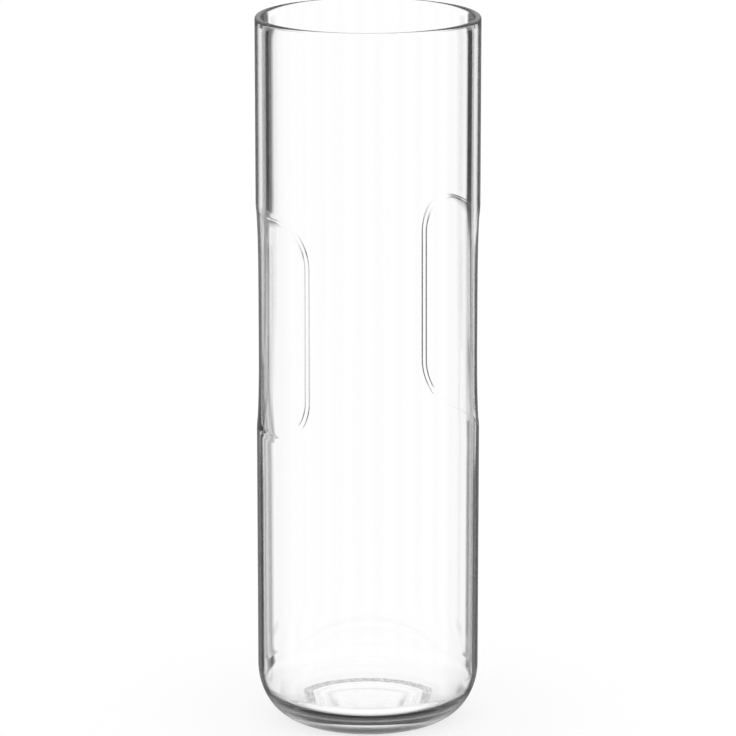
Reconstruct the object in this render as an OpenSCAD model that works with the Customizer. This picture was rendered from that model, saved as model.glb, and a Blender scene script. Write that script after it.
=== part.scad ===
// Tall water carafe in clear glass, with an open mouth, a rounded lip, a rounded heel
// and a slight push-up in the base. Two shallow hollows on opposite sides of the wall are
// the grip. Each goes down in two small steps with a ledge between them, and fades out
// towards its top and bottom. The inside of the wall runs straight past the hollows.
// The origin is in the middle of the standing ring, Z is up, and the hollows face +X and -X.

/* [Body] */
// Height from the standing ring to the top of the lip
height = 289.5; // [250:0.5:330]
// Outside diameter of the straight wall
outer_d = 90; // [80:0.5:100]
// Thickness of the wall at the mouth, down to the depth of the straight mouth
wall = 2.7; // [2.5:0.1:4]
// Thickness of the wall low down, from the height taper_z to the inside of the heel
wall_low = 2; // [1.8:0.1:2.4]
// Height above the table at which the wall starts to thicken towards the mouth
taper_z = 115; // [60:1:120]
// Depth from the rim over which the inside of the mouth is a true cylinder
mouth_depth = 72.5; // [60:0.5:75]
// Thickness of the glass between the push-up and the inside of the floor
floor_t = 4.5; // [3:0.5:6]

/* [Heel and base] */
// How far the rounded heel comes in from the wall
heel_in = 17.6; // [12:0.1:22]
// How far the rounded heel reaches up the wall
heel_up = 22; // [14:0.5:30]
// How far the inside of the heel comes in from the inside of the wall
inner_heel_in = 22.6; // [14:0.1:26]
// How far the inside of the heel reaches up from the floor
inner_heel_up = 11; // [8:0.5:18]
// Width of the flat ring that the carafe stands on
ring_w = 3; // [2:0.5:6]
// Height of the push-up inside the standing ring
punt_h = 0.5; // [0.3:0.1:2]

/* [Grip hollows] */
// Height of the middle of the hollows above the table
grip_z = 167.5; // [140:0.5:190]
// Height of each hollow
grip_h = 94; // [70:1:110]
// Width of each hollow, measured round the outside of the wall
grip_w = 62; // [46:1:66]
// Corner radius of the outline of a hollow
grip_corner = 20; // [12:1:22]
// Depth of a hollow at its middle
grip_depth = 0.95; // [0.6:0.05:1.2]
// Width of each of the two small steps down into a hollow
step_w = 1.1; // [0.8:0.1:1.6]
// Distance inside the outline at which the second step starts
ledge_in = 2.2; // [1.8:0.1:4]

/* [Hidden] */
$fn = 96;

outer_r = outer_d / 2;
inner_r = outer_r - wall;
inner_low_r = outer_r - wall_low;
lip_r = wall / 2;
punt_r = outer_r - heel_in - ring_w;
// Radius of the shallow dome that rises punt_h over the radius punt_r
punt_dome_r = (punt_r * punt_r + punt_h * punt_h) / (2 * punt_h);
floor_z = punt_h + floor_t;

// How far a cutting solid stands clear of the wall that it cuts
overrun = 0.1;
// The higher the power, the later a hollow fades out towards its top and bottom
bow_power = 4;
// Half width of the strip that closes the middle of a hollow
core_w = 4;
corner_least = 0.5;

punt_steps = 8;
heel_steps = 24;
lip_steps = 16;
corner_steps = 8;
side_steps = 6;
step_rings = 4;
flat_rings = 4;
ring_points = 4 * (corner_steps + side_steps);

// Angle round the wall, in degrees, of an arc length on its outside
function wall_angle(s) = s / outer_r * 180 / PI;

// An arc of an ellipse round the point c, from angle a0 to a1
function arc(c, rx, ry, a0, a1, steps) =
    [for (k = [0:steps]) let (a = a0 + (a1 - a0) * k / steps) [c.x + rx * cos(a), c.y + ry * sin(a)]];

// Half section of the glass before the hollows: the push-up, the standing ring and the
// heel, up the outside of the wall, over the lip, and down the inside to the floor
module glass_section() {
    dome_r = punt_dome_r;
    dome_end = acos(punt_r / dome_r);
    heel = [outer_r - heel_in, heel_up];
    lip = [outer_r - lip_r, height - lip_r];
    inner_heel = [inner_low_r - inner_heel_in, floor_z + inner_heel_up];
    polygon(concat(
        arc([0, punt_h - dome_r], dome_r, dome_r, 90, dome_end, punt_steps),
        arc(heel, heel_in, heel_up, -90, 0, heel_steps),
        arc(lip, lip_r, lip_r, 0, 180, lip_steps),
        [[inner_r, height - mouth_depth], [inner_low_r, taper_z]],
        arc(inner_heel, inner_heel_in, inner_heel_up, 0, -90, heel_steps),
        [[0, floor_z]]
    ));
}

// One quarter of a rounded rectangle: a straight side and the corner after it
function quarter(q, a, b, c) =
    let (
        x = q % 2 == 0 ? a : b,
        y = q % 2 == 0 ? b : a,
        side = [for (k = [0:side_steps - 1]) [x, (y - c) * (2 * k / side_steps - 1)]],
        corner = [for (k = [0:corner_steps - 1])
            let (t = 90 * k / corner_steps) [x - c + c * cos(t), y - c + c * sin(t)]]
    )
    [for (p = concat(side, corner))
        [p.x * cos(90 * q) - p.y * sin(90 * q), p.x * sin(90 * q) + p.y * cos(90 * q)]];

// Outline of a hollow drawn in by e, as arc length and height from its middle
function grip_outline(e) =
    [for (q = [0:3]) each quarter(q, grip_w / 2 - e, grip_h / 2 - e, max(grip_corner - e, corner_least))];

// Depth of a hollow at the height z from its middle, past its steps
function grip_floor(z) = grip_depth * (1 - pow(abs(2 * z / grip_h), bow_power));

// A soft rise from 0 to 1
function ease(t) = (1 - cos(180 * min(max(t, 0), 1))) / 2;

// Part of its depth that a hollow has at the distance e inside its outline
function step_part(e) = (ease(e / step_w) + ease((e - ledge_in) / step_w)) / 2;

// One ring of points of a hollow, at the distance e inside its outline
function grip_ring(e) =
    [for (p = grip_outline(e))
        let (
            r = outer_r + overrun - (grip_floor(p.y) + overrun) * step_part(e),
            a = wall_angle(p.x)
        )
        [r * cos(a), r * sin(a), grip_z + p.y]];

// The solid in front of a hollow's surface. Rings of points go down the two steps and on
// across the floor, and the outermost ring is closed by a fan from a point in front.
module grip_block() {
    foot_e = ledge_in + step_w;
    last_e = grip_w / 2 - core_w;
    rings = concat(
        [for (start = [0, ledge_in]) for (k = [0:step_rings]) grip_ring(start + step_w * k / step_rings)],
        [for (k = [1:flat_rings]) grip_ring(foot_e + (last_e - foot_e) * k / flat_rings)]
    );
    n = ring_points;
    last = len(rings) - 1;
    tip = n * len(rings);
    // The wall's tangents at the two sides of the hollow meet at this distance
    tip_r = outer_r / cos(wall_angle(grip_w / 2)) + overrun;
    half = n / 2;
    shift = side_steps / 2;
    polyhedron(
        points = concat([for (ring = rings) each ring], [[tip_r, 0, grip_z]]),
        faces = concat(
            [for (j = [0:n - 1]) [j, tip, (j + 1) % n]],
            [for (i = [0:last - 1]) for (j = [0:n - 1])
                let (a = i * n + j, b = i * n + (j + 1) % n) each [[a, b, b + n], [a, b + n, a + n]]],
            [for (j = [0:half - 1])
                let (
                    a = last * n + (shift + j) % n,
                    b = last * n + (shift + j + 1) % n,
                    c = last * n + (shift + n - j - 1) % n,
                    d = last * n + (shift + n - j) % n
                )
                each (j == 0 ? [[a, b, c]] : j == half - 1 ? [[a, b, d]] : [[a, b, c], [a, c, d]])]
        )
    );
}

module glass_body() {
    color("lightcyan")
    difference() {
        rotate_extrude() glass_section();
        for (turn = [0, 180]) rotate([0, 0, turn]) grip_block();
    }
}

glass_body();
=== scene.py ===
# A tall clear glass carafe with a grip hollow pressed into each side, on a pale floor
import math

import bpy
import numpy as np
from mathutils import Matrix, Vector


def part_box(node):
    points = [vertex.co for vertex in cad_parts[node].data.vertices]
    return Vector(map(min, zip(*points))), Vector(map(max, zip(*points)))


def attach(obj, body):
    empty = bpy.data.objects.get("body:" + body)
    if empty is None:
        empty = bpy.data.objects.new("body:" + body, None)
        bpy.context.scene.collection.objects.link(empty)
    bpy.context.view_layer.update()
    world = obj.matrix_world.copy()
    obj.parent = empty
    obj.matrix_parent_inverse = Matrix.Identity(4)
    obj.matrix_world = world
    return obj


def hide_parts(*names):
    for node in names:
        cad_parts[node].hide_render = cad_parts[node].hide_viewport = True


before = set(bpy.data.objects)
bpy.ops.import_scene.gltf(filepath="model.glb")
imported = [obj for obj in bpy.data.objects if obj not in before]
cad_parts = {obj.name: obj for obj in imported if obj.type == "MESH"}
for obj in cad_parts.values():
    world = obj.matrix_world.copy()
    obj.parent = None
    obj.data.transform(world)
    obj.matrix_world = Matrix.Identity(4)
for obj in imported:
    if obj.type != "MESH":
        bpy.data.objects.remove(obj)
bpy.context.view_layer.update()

MM = 0.001

# Sizes of the glass, in metres. The height and the diameter are the frame's.
LOW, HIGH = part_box("glass_body")
HEIGHT = HIGH.z - LOW.z
OUTER_R = (HIGH.x - LOW.x) / 2
WALL = 2.7 * MM
WALL_LOW = 2.0 * MM
TAPER_Z = 115 * MM
FLOOR_T = 4.5 * MM
HEEL_IN = 17.6 * MM
HEEL_UP = 22 * MM
INNER_HEEL_IN = 22.6 * MM
INNER_HEEL_UP = 11 * MM
RING_W = 3 * MM
PUNT_H = 0.5 * MM
MOUTH_DEPTH = 72.5 * MM

LIP_R = WALL / 2
PUNT_R = OUTER_R - HEEL_IN - RING_W
PUNT_DOME_R = (PUNT_R ** 2 + PUNT_H ** 2) / (2 * PUNT_H)
FLOOR_Z = PUNT_H + FLOOR_T

# The grip hollows. Their width is measured round the outside of the wall. The higher the power,
# the later a hollow fades out towards its top and bottom.
GRIP_Z = 167.5 * MM
GRIP_H = 94 * MM
GRIP_W = 62 * MM
GRIP_CORNER = 20 * MM
GRIP_DEPTH = 0.95 * MM
STEP_W = 1.1 * MM
LEDGE_IN = 2.2 * MM
BOW_POWER = 4

# Steps of the mesh along each stretch of the half section
PUNT_STEPS = 16
RING_STEPS = 4
HEEL_STEPS = 40
BELOW_STEPS = 23
ABOVE_STEPS = 17
LIP_STEPS = 24
INSIDE_STEPS = 89
FLOOR_STEPS = 12

# Rows of the mesh across the hollows, close together from just inside the corners to past the edge
ROW = 1.6 * MM
FINE_ROW = 0.4 * MM
FINE_ROWS_IN = 2 * MM
FINE_ROWS_OUT = 3 * MM

# Columns of the mesh, close together from inside each upright edge of a hollow to past it
FINE_COLUMNS = 48
FRONT_STEPS = 29
SIDE_STEPS = 61
FINE_TURN_IN = math.radians(8)
FINE_TURN_OUT = math.radians(4)

GLASS_IOR = 1.5

# The ring under the base is stippled and painted grey with a mottle: painted shade of the dim
# floor under it. A finer stipple goes round it. SOFT is half the width over which an edge in the
# glass material fades.
SOFT = 0.4 * MM
RING_IN = 29.5 * MM
RING_OUT = 33 * MM
RING_PAINTED_SHADE = (0.2, 0.19, 0.22, 1)
GRAIN_SCALE = 900
GRAIN_START = 0.35
GRAIN_END = 0.6
GRAIN_LEAST = 0.5
STIPPLE_OUT = 41 * MM
STIPPLE_UP = 7 * MM
STIPPLE_ROUGH = 0.22

# The wall is darkened with painted shade where the eye looks along its surface, for the dark edges
# that the glass shows of what it bends. START and END are Layer Weight's Facing, and the constant
# after each pair is the brightness past them. Near the foot the outside is darkened somewhat
# sooner. The inside is darkened in full near the mouth, where the glass is thick, and in part
# lower down. The floor is left clear.
EDGE_START = 0.7
EDGE_END = 0.8
EDGE_SHADE_LEVEL = 0.02
EDGE_SOONER = 0.06
SOONER_LOW = 100 * MM
SOONER_HIGH = 120 * MM
INSIDE_START = 0.62
INSIDE_END = 0.67
INSIDE_SHADE_LEVEL = 0.05
INSIDE_LEAST = 0.3
LEAST_LOW = 190 * MM
LEAST_HIGH = 215 * MM
CLEAR_IN = 22 * MM
CLEAR_OUT = 28 * MM
# Where the inside ends and the outside starts, as a share of the low wall from the outside in
MIDDLE_SHARE = 0.75

# The camera, far away with a long lens. The distance is level, from the axis, the angles are in
# degrees, and the lens and the sensor are in millimetres.
VIEW_AZ = -20.0
VIEW_DISTANCE = 1.7434
VIEW_HEIGHT = 0.5727
VIEW_TILT = 13.766
LENS = 217.4
SENSOR = 36
CLIP_END = 100

# The floor: half its length in metres, the grey that takes the shadow, and the light it gives off
FLOOR_HALF = 12
FLOOR_GREY = 0.3
FLOOR_GLOW = 0.72

# Angles in the studio are in degrees, and a darkness is 0 for white and 1 for black
FULL_TURN = 360
HALF_TURN = 180

# Dark boards in the white studio, in rows one above the other. Each row has its lower and upper
# edge as elevations, the softness of the two, and the darkness by the angle from the line of
# sight: 0 is straight behind the glass, plus is left.
BOARDS = [
    (-8.8, -5.5, (0.2, 0.8),
     [(-19, 0), (-17, 1), (-6, 1), (-5, 0), (5, 0), (6, 1), (13, 1), (14, 0)]),
    (-13, -8.8, (0.3, 0.2),
     [(-58, 0), (-55, 1), (-43, 1), (-41, 0), (-19.5, 0), (-18, 1), (-11.7, 1), (-11.3, 0),
      (9.3, 0), (9.6, 1), (14, 1), (15, 0), (46, 0), (47, 1), (58, 1), (60, 0)]),
    (-27, -13, (2, 0.3),
     [(-35, 0), (-34, 1), (-31, 1), (-30, 0), (-20, 0), (-19, 1), (-15, 1), (-13, 0.5),
      (-11, 0.8), (-9.5, 0.8), (-9, 0), (8, 0), (8.5, 0.8), (10, 0.4), (12, 0), (13, 1),
      (14.5, 1), (15.5, 0), (25, 0), (26, 1), (35, 1), (37, 0), (53, 0), (54, 1), (57, 1),
      (58, 0)]),
]

# Fainter boards stand either side of what lies behind the glass from each of SIDES directions.
# SIDE_BOARDS gives them for one direction, and SIDE_PART leaves them out where the rows above are.
SIDES = 8
SIDE_FOOT = -32
SIDE_TOP = 6
SIDE_SOFT = (2, 2)
SIDE_BOARDS = [(-18, 0), (-11, 0.25), (-6, 0), (6, 0), (11, 0.25), (18, 0)]
SIDE_PART = [(-70, 1), (-60, 0), (60, 0), (70, 1)]

# What the glass mirrors is darker behind it than in front of it and above: the darkness by the
# angle from the line of sight, and its share by elevation
MIRROR_AROUND = [(-95, 0), (-75, 0.73), (75, 0.73), (95, 0)]
MIRROR_SHARE = [(-40, 0), (-25, 1), (-3, 1), (15, 0)]


def between(start, end, steps):
    """Evenly spaced values from one end to the other, without the ends."""
    return np.linspace(start, end, steps + 1)[1:-1]


def grip_depth(arc, z):
    """Depth of a hollow at an arc length from its middle and a height. It goes down in two small
    steps with a ledge between them."""
    qx = np.abs(arc) - (GRIP_W / 2 - GRIP_CORNER)
    qz = np.abs(z - GRIP_Z) - (GRIP_H / 2 - GRIP_CORNER)
    outside = np.hypot(np.maximum(qx, 0), np.maximum(qz, 0)) + np.minimum(np.maximum(qx, qz), 0)
    inset = GRIP_CORNER - outside
    down = [1 - np.cos(np.pi * np.clip((inset - start) / STEP_W, 0, 1)) for start in (0, LEDGE_IN)]
    floor = GRIP_DEPTH * (1 - (2 * (z - GRIP_Z) / GRIP_H) ** BOW_POWER)
    floor = np.maximum(floor, 0)
    return (down[0] + down[1]) / 4 * floor


def grip_heights():
    """Heights of the rows that cross the hollows, close together where the outline turns."""
    half = GRIP_H / 2
    turn = half - GRIP_CORNER - FINE_ROWS_IN
    ends = np.arange(turn, half + FINE_ROWS_OUT, FINE_ROW)
    middle = np.linspace(-turn, turn, int(2 * turn / ROW))
    return GRIP_Z + np.concatenate([-ends[::-1], middle[1:-1], ends])


def inner_wall_r(z):
    """Inside radius of the wall: a true cylinder at the mouth, and thinner glass low down."""
    return OUTER_R - float(np.interp(z, [TAPER_Z, HEIGHT - MOUTH_DEPTH], [WALL_LOW, WALL]))


def arc_points(centre, rx, rz, start, end, steps):
    """Points of the half section along an arc of an ellipse, which no hollow cuts."""
    angles = np.radians(np.linspace(start, end, steps + 1))
    return [(centre[0] + rx * math.cos(a), centre[1] + rz * math.sin(a), False) for a in angles]


def half_section():
    """The half section from the middle of the push-up round the lip to the middle of the floor.
    Each point has a radius, a height and whether the hollows cut it."""
    points = []
    rise = np.linspace(0, math.asin(PUNT_R / PUNT_DOME_R), PUNT_STEPS + 1)[1:]
    for a in rise:
        points.append((PUNT_DOME_R * math.sin(a), PUNT_H - PUNT_DOME_R * (1 - math.cos(a)), False))
    points += [(PUNT_R + RING_W * k / RING_STEPS, 0, False) for k in range(1, RING_STEPS)]
    points += arc_points((OUTER_R - HEEL_IN, HEEL_UP), HEEL_IN, HEEL_UP, -90, 0, HEEL_STEPS)
    rows = grip_heights()
    shoulder = HEIGHT - LIP_R
    below = between(HEEL_UP, rows[0], BELOW_STEPS)
    above = between(rows[-1], shoulder, ABOVE_STEPS)
    points += [(OUTER_R, z, True) for z in np.concatenate([below, rows, above])]
    points += arc_points((OUTER_R - LIP_R, shoulder), LIP_R, LIP_R, 0, 180, LIP_STEPS)
    low = FLOOR_Z + INNER_HEEL_UP
    points += [(inner_wall_r(z), z, False) for z in between(shoulder, low, INSIDE_STEPS)]
    floor_r = inner_wall_r(low) - INNER_HEEL_IN
    points += arc_points((floor_r, low), INNER_HEEL_IN, INNER_HEEL_UP, 0, -90, HEEL_STEPS)
    points += [(floor_r * k / FLOOR_STEPS, FLOOR_Z, False) for k in range(FLOOR_STEPS - 1, 0, -1)]
    return points


def column_angles():
    """Angles of the mesh's columns, close together at the upright edges of the hollows."""
    edge = GRIP_W / 2 / OUTER_R
    near, far = edge - FINE_TURN_IN, edge + FINE_TURN_OUT
    fine = np.linspace(near, far, FINE_COLUMNS)
    front = between(-near, near, FRONT_STEPS)
    side = between(far, math.pi - far, SIDE_STEPS)
    half = np.concatenate([-fine[::-1], front, fine, side])
    return np.concatenate([half, half + math.pi])


def build_glass():
    """The whole glass as one closed mesh: the half section turned round the axis, with the
    hollows in it."""
    section = half_section()
    angles = column_angles()
    n, rows = len(angles), len(section)
    from_grip = (angles + math.pi / 2) % math.pi - math.pi / 2
    verts = []
    for r, z, cut in section:
        radius = np.full(n, r)
        if cut:
            radius = r - grip_depth(from_grip * OUTER_R, z)
        ring = [radius * np.cos(angles), radius * np.sin(angles), np.full(n, z)]
        verts.append(np.stack(ring, 1))
    poles = [[(0, 0, PUNT_H)], [(0, 0, FLOOR_Z)]]
    co = np.concatenate([*verts, *poles])
    faces = []
    for i in range(rows - 1):
        for j in range(n):
            k = (j + 1) % n
            faces.append((i * n + j, i * n + k, (i + 1) * n + k, (i + 1) * n + j))
    first, last = rows * n, rows * n + 1
    for j in range(n):
        k = (j + 1) % n
        faces.append((first, k, j))
        faces.append((last, (rows - 1) * n + j, (rows - 1) * n + k))
    mesh = bpy.data.meshes.new("carafe_glass")
    mesh.from_pydata(co.tolist(), [], faces)
    mesh.update()
    for p in mesh.polygons:
        p.use_smooth = True
    glass = bpy.data.objects.new("carafe_glass", mesh)
    bpy.context.scene.collection.objects.link(glass)
    return glass


def set_input(links, socket, value):
    """Links a socket to an input, or sets a constant number on it."""
    if isinstance(value, (int, float)):
        socket.default_value = value
    else:
        links.new(value, socket)


def math_node(nodes, links, operation, *values):
    """A maths node over sockets and constant numbers."""
    node = nodes.new("ShaderNodeMath")
    node.operation = operation
    for i, value in enumerate(values):
        set_input(links, node.inputs[i], value)
    return node.outputs[0]


def product(nodes, links, first, *others):
    """The product of several values."""
    for other in others:
        first = math_node(nodes, links, "MULTIPLY", first, other)
    return first


def blend(nodes, links, factor, a, b):
    """The value a where the factor is 0, and b where it is 1."""
    node = nodes.new("ShaderNodeMix")
    for name, value in (("Factor", factor), ("A", a), ("B", b)):
        set_input(links, node.inputs[name], value)
    return node.outputs["Result"]


def map_range(nodes, links, value, start, end, before, after):
    """A smooth change from the number before to the number after, as the value goes from start
    to end."""
    node = nodes.new("ShaderNodeMapRange")
    node.interpolation_type = "SMOOTHSTEP"
    links.new(value, node.inputs["Value"])
    node.inputs["From Min"].default_value = start
    node.inputs["From Max"].default_value = end
    node.inputs["To Min"].default_value = before
    node.inputs["To Max"].default_value = after
    return node.outputs["Result"]


def soft_edge(nodes, links, value, edge, before, after):
    """A change from one number to the other where the value passes an edge."""
    return map_range(nodes, links, value, edge - SOFT, edge + SOFT, before, after)


def mix_shaders(nodes, links, factor, a, b):
    """The shader a where the factor is 0, and b where it is 1."""
    node = nodes.new("ShaderNodeMixShader")
    for i, socket in enumerate((factor, a, b)):
        links.new(socket, node.inputs[i])
    return node.outputs[0]


def radius_and_height(nodes, links, point):
    """Distance of a point from the axis, and its height."""
    flat = nodes.new("ShaderNodeVectorMath")
    flat.operation = "MULTIPLY"
    links.new(point, flat.inputs[0])
    flat.inputs[1].default_value = (1, 1, 0)
    length = nodes.new("ShaderNodeVectorMath")
    length.operation = "LENGTH"
    links.new(flat.outputs[0], length.inputs[0])
    split = nodes.new("ShaderNodeSeparateXYZ")
    links.new(point, split.inputs[0])
    return length.outputs["Value"], split.outputs["Z"]


def edge_painted_shade(nodes, links, r, z):
    """Painted shade: brightness of the glass where the eye looks along the wall, by the radius and
    the height.
    """
    facing = nodes.new("ShaderNodeLayerWeight").outputs["Facing"]
    sooner = map_range(nodes, links, z, SOONER_LOW, SOONER_HIGH, EDGE_SOONER, 0)
    outside = math_node(nodes, links, "ADD", facing, sooner)
    outside = map_range(nodes, links, outside, EDGE_START, EDGE_END, 1, EDGE_SHADE_LEVEL)
    part = map_range(nodes, links, z, LEAST_LOW, LEAST_HIGH, INSIDE_LEAST, 1)
    inside = map_range(nodes, links, facing, INSIDE_START, INSIDE_END, 1, INSIDE_SHADE_LEVEL)
    inside = blend(nodes, links, part, 1, inside)
    side = soft_edge(nodes, links, r, OUTER_R - WALL_LOW * MIDDLE_SHARE, 0, 1)
    wall = map_range(nodes, links, r, CLEAR_IN, CLEAR_OUT, 0, 1)
    return blend(nodes, links, wall, 1, blend(nodes, links, side, inside, outside))


def glass_material():
    """Clear glass with painted shade at its edges, and a fine stipple and painted grey shade on
    the ring that it stands on.
    """
    mat = bpy.data.materials.new("clear_glass")
    mat.use_nodes = True
    nodes, links = mat.node_tree.nodes, mat.node_tree.links
    shader = nodes["Principled BSDF"]
    shader.inputs["IOR"].default_value = GLASS_IOR
    shader.inputs["Transmission Weight"].default_value = 1
    point = nodes.new("ShaderNodeTexCoord").outputs["Object"]
    r, z = radius_and_height(nodes, links, point)
    noise = nodes.new("ShaderNodeTexNoise")
    links.new(point, noise.inputs["Vector"])
    noise.inputs["Scale"].default_value = GRAIN_SCALE
    grain = map_range(nodes, links, noise.outputs["Fac"], GRAIN_START, GRAIN_END, GRAIN_LEAST, 1)
    start = soft_edge(nodes, links, r, RING_IN, 0, 1)
    end = soft_edge(nodes, links, r, RING_OUT, 1, 0)
    under = map_range(nodes, links, z, RING_W / 2, RING_W, 1, 0)
    # Painted shade: the colour is darkened along the edges of the wall, and painted grey on the
    # ring under the base
    mix = nodes.new("ShaderNodeMix")
    mix.data_type = "RGBA"
    links.new(product(nodes, links, start, end, under, grain), mix.inputs["Factor"])
    links.new(edge_painted_shade(nodes, links, r, z), mix.inputs["A"])
    mix.inputs["B"].default_value = RING_PAINTED_SHADE
    links.new(mix.outputs["Result"], shader.inputs["Base Color"])
    outer = soft_edge(nodes, links, r, STIPPLE_OUT, 1, 0)
    low = soft_edge(nodes, links, z, STIPPLE_UP, 1, 0)
    links.new(product(nodes, links, start, outer, low, STIPPLE_ROUGH), shader.inputs["Roughness"])
    return mat


def ramp(nodes, links, source, span, stops):
    """A colour ramp over an angle, with (degrees, value) stops. The source goes from 0 to 1 over
    the span of degrees, and 0 degrees is in its middle."""
    node = nodes.new("ShaderNodeValToRGB")
    links.new(source, node.inputs[0])
    elements = node.color_ramp.elements
    for i, (degrees, value) in enumerate(stops):
        place = 0.5 + degrees / span
        element = elements[i] if i < 2 else elements.new(place)
        element.position = place
        element.color = (value, value, value, 1)
    return node.outputs["Color"]


def board_row(nodes, links, level, foot, top, soft):
    """How far an elevation is inside a row of boards with soft edges."""
    stops = [(foot - soft[0], 0), (foot + soft[0], 1), (top - soft[1], 1), (top + soft[1], 0)]
    return ramp(nodes, links, level, HALF_TURN, stops)


def board_darkness(nodes, links, turn, place, level):
    """Darkness of all the boards. The turn is in radians from +X. The place is the share of a full
    turn that has the line of sight in its middle, and the level goes from 0 straight down to 1
    straight up."""
    dark = 0.0
    for foot, top, soft, boards in BOARDS:
        around = ramp(nodes, links, place, FULL_TURN, boards)
        row = board_row(nodes, links, level, foot, top, soft)
        dark = math_node(nodes, links, "MULTIPLY_ADD", around, row, dark)
    laps = math_node(nodes, links, "MULTIPLY_ADD", turn, SIDES / (2 * math.pi), 0.5)
    lap = math_node(nodes, links, "FRACT", laps)
    around = ramp(nodes, links, lap, FULL_TURN / SIDES, SIDE_BOARDS)
    part = ramp(nodes, links, place, FULL_TURN, SIDE_PART)
    row = board_row(nodes, links, level, SIDE_FOOT, SIDE_TOP, SIDE_SOFT)
    return math_node(nodes, links, "MULTIPLY_ADD", product(nodes, links, around, part), row, dark)


def mirror_darkness(nodes, links, place, level):
    """Darkness of what the glass mirrors, by the same place and level."""
    around = ramp(nodes, links, place, FULL_TURN, MIRROR_AROUND)
    share = ramp(nodes, links, level, HALF_TURN, MIRROR_SHARE)
    return product(nodes, links, around, share)


def background(nodes, links, dark=None):
    """White light, less a darkness."""
    node = nodes.new("ShaderNodeBackground")
    node.inputs["Color"].default_value = (1, 1, 1, 1)
    if dark is not None:
        links.new(math_node(nodes, links, "SUBTRACT", 1.0, dark), node.inputs["Color"])
    return node.outputs[0]


def studio_world():
    """White all round, with boards for the light that the glass lets through and a darker far
    side for the light that it mirrors."""
    world = bpy.data.worlds.new("studio")
    bpy.context.scene.world = world
    world.use_nodes = True
    nodes, links = world.node_tree.nodes, world.node_tree.links
    nodes.clear()
    split = nodes.new("ShaderNodeSeparateXYZ")
    links.new(nodes.new("ShaderNodeTexCoord").outputs["Generated"], split.inputs[0])
    turn = math_node(nodes, links, "ARCTAN2", split.outputs["Y"], split.outputs["X"])
    # The line of sight points to this angle from +X
    sight = 90 + VIEW_AZ
    start = 0.5 - sight / FULL_TURN
    turns = math_node(nodes, links, "MULTIPLY_ADD", turn, 1 / (2 * math.pi), start)
    place = math_node(nodes, links, "FRACT", turns)
    rise = math_node(nodes, links, "ARCSINE", split.outputs["Z"])
    level = math_node(nodes, links, "MULTIPLY_ADD", rise, 1 / math.pi, 0.5)
    plain = background(nodes, links)
    pattern = background(nodes, links, board_darkness(nodes, links, turn, place, level))
    mirror = background(nodes, links, mirror_darkness(nodes, links, place, level))
    path = nodes.new("ShaderNodeLightPath")
    light = mix_shaders(nodes, links, path.outputs["Is Glossy Ray"], plain, mirror)
    light = mix_shaders(nodes, links, path.outputs["Is Transmission Ray"], light, pattern)
    out = nodes.new("ShaderNodeOutputWorld")
    links.new(light, out.inputs["Surface"])


def floor_material():
    """A pale matt floor with a soft shadow. It isn't seen through the glass or mirrored in it."""
    mat = bpy.data.materials.new("pale_floor")
    mat.use_nodes = True
    nodes, links = mat.node_tree.nodes, mat.node_tree.links
    nodes.clear()
    diffuse = nodes.new("ShaderNodeBsdfDiffuse")
    diffuse.inputs["Color"].default_value = (FLOOR_GREY, FLOOR_GREY, FLOOR_GREY, 1)
    glow = nodes.new("ShaderNodeEmission")
    glow.inputs["Color"].default_value = (FLOOR_GLOW, FLOOR_GLOW, FLOOR_GLOW, 1)
    add = nodes.new("ShaderNodeAddShader")
    links.new(diffuse.outputs[0], add.inputs[0])
    links.new(glow.outputs[0], add.inputs[1])
    clear = nodes.new("ShaderNodeBsdfTransparent")
    path = nodes.new("ShaderNodeLightPath")
    through, mirrored = path.outputs["Is Transmission Ray"], path.outputs["Is Glossy Ray"]
    either = math_node(nodes, links, "MAXIMUM", through, mirrored)
    surface = mix_shaders(nodes, links, either, add.outputs[0], clear.outputs[0])
    out = nodes.new("ShaderNodeOutputMaterial")
    links.new(surface, out.inputs["Surface"])
    return mat


def make_floor():
    mesh = bpy.data.meshes.new("floor")
    half = FLOOR_HALF
    corners = [(-half, -half, 0), (half, -half, 0), (half, half, 0), (-half, half, 0)]
    mesh.from_pydata(corners, [], [(0, 1, 2, 3)])
    floor = bpy.data.objects.new("floor", mesh)
    bpy.context.scene.collection.objects.link(floor)
    mesh.materials.append(floor_material())


def make_camera():
    """The photograph's view: from above, turned to the left of the plane between the hollows."""
    az = math.radians(VIEW_AZ)
    cam = bpy.data.cameras.new("camera")
    cam.sensor_width = SENSOR
    cam.lens = LENS
    cam.clip_end = CLIP_END
    obj = bpy.data.objects.new("camera", cam)
    obj.location = (VIEW_DISTANCE * math.sin(az), -VIEW_DISTANCE * math.cos(az), VIEW_HEIGHT)
    obj.rotation_euler = (math.pi / 2 - math.radians(VIEW_TILT), 0, az)
    bpy.context.scene.collection.objects.link(obj)
    bpy.context.scene.camera = obj


glass = build_glass()
glass.data.materials.append(glass_material())
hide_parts("glass_body")
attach(glass, "root")
make_floor()
studio_world()
make_camera()
bpy.context.scene.view_settings.view_transform = "Standard"
